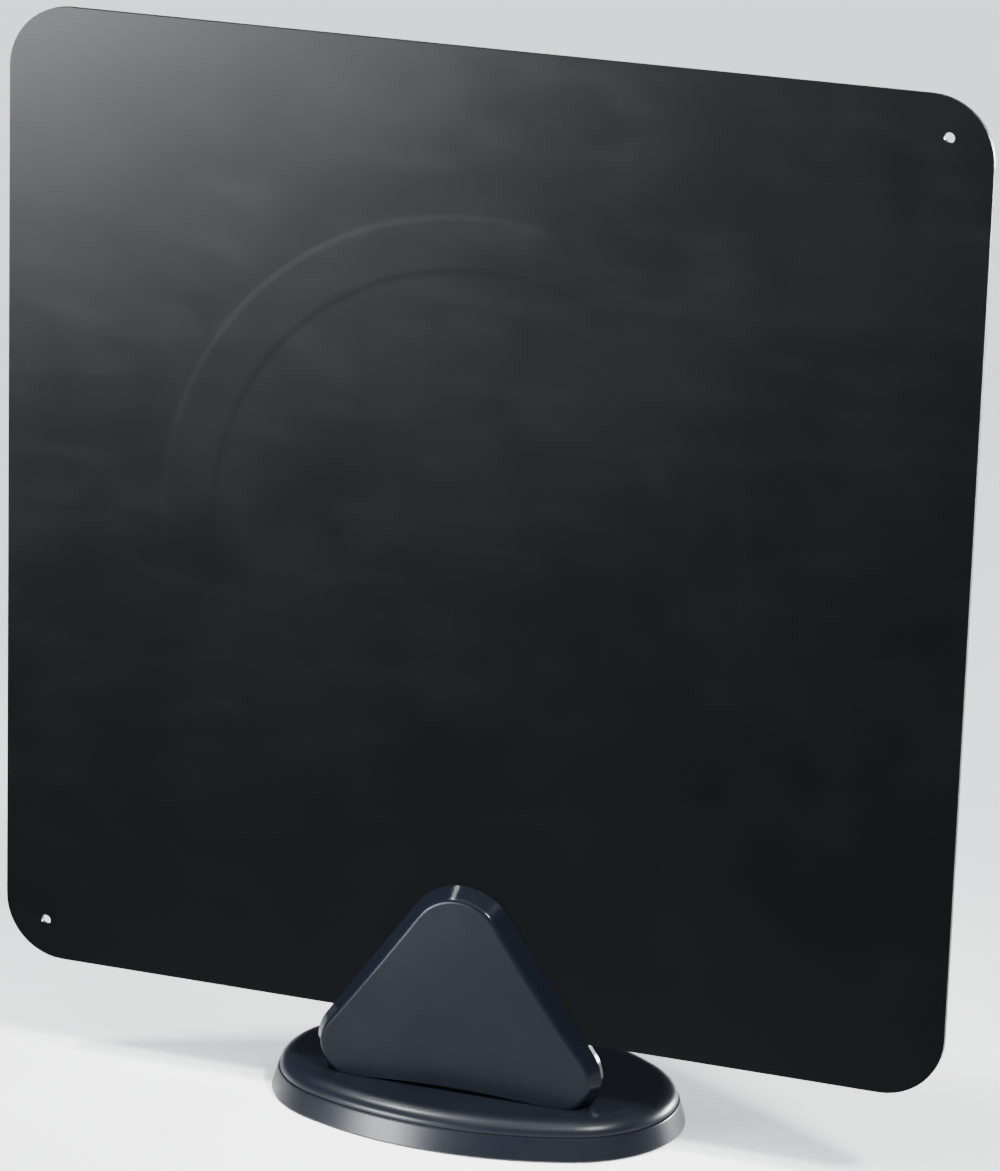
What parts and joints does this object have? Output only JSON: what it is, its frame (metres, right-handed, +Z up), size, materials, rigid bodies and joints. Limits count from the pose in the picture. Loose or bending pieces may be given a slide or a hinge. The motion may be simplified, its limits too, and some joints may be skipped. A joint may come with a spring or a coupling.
{
  "type": "flat panel indoor television antenna",
  "caption": "Thin square indoor television antenna panel with a rounded triangular signal housing on a low domed oval base.",
  "frame": {"origin": "on the surface that the rubber feet stand on, at the middle of the base", "axes": "+Z up the panel's height, +X to the right along the panel's width seen from the front, and the front of the panel and housing faces -Y"},
  "size_m": [0.303, 0.0902, 0.3322],
  "materials": {
    "panel_plastic": "fine satin black sheet",
    "clear_film": "frosted translucent film",
    "foil": "rolled foil",
    "housing_plastic": "dark slate plastic, satin face and glossy flanks",
    "base_plastic": "dark slate plastic, satin rim",
    "inner_plastic": "plain moulded black",
    "plated_steel": "zinc plated",
    "raw_steel": "rolled plate",
    "board_laminate": "green solder mask over glass laminate",
    "spring_bronze": "gold flashed",
    "ferrite": "sintered, matt",
    "enamelled_copper": "enamelled wire",
    "chip_ceramic": "fired ceramic with tinned ends",
    "nickel_plate": "nickel plated",
    "white_plastic": "moulded",
    "foot_rubber": "soft, matt"
  },
  "bodies": {
    "stand": {"base_tray": "base_plastic", "base_top_cover": "base_plastic", "ballast_plate": "raw_steel", "dock_tongue": "base_plastic", "tongue_screws": "plated_steel", "base_screws": "plated_steel", "rubber_feet": "foot_rubber"},
    "head": {"panel_front_skin": "panel_plastic", "panel_spacer_film": "clear_film", "loop_element": "foil", "panel_rear_skin": "panel_plastic", "housing_front_cover": "housing_plastic", "housing_rear_cover": "housing_plastic", "cover_screws": "plated_steel", "dock_sleeve": "inner_plastic", "circuit_board": "board_laminate", "board_screws": "plated_steel", "contact_springs": "spring_bronze", "balun_core": "ferrite", "balun_winding": "enamelled_copper", "coupling_capacitors": "chip_ceramic", "f_jack_body": "nickel_plate", "f_jack_insulator": "white_plastic", "f_jack_contact": "spring_bronze", "f_jack_washer": "nickel_plate", "f_jack_nut": "nickel_plate"}
  },
  "joints": [
    {"name": "head_lift", "type": "slide", "parent": "stand", "child": "head", "axis": [0, 0, 1], "range_m": [0, 0.04]}
  ]
}
